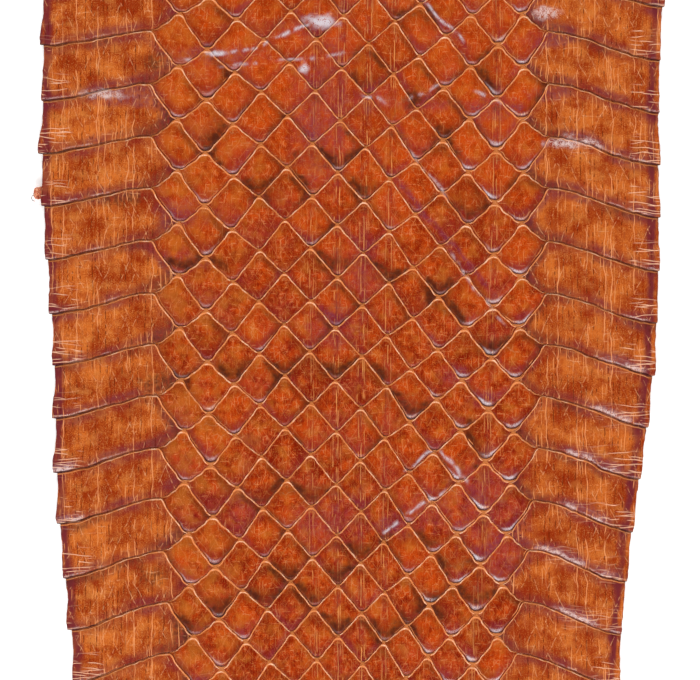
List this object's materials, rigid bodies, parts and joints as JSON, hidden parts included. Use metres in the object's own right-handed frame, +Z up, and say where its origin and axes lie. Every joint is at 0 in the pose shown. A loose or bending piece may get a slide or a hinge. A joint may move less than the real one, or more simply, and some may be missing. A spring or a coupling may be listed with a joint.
{
  "type": "tanned snake skin",
  "caption": "Flat piece of tanned snake skin, slit along the belly and opened out: diamond back scales between two rows of broad belly scutes, with both ends cut straight",
  "frame": {"origin": "middle of the skin's outline, on the surface it lies on", "axes": "+Y along the snake towards its head, +X to the right when looking at the scales with the head end up, +Z up out of the scales"},
  "size_m": [0.1232, 0.15, 0.0021],
  "materials": {
    "tanned_skin": "glazed, orange brown with dark stains on the scales' tail tips"
  },
  "bodies": {
    "root": {"snake_skin": "tanned_skin"}
  },
  "joints": []
}
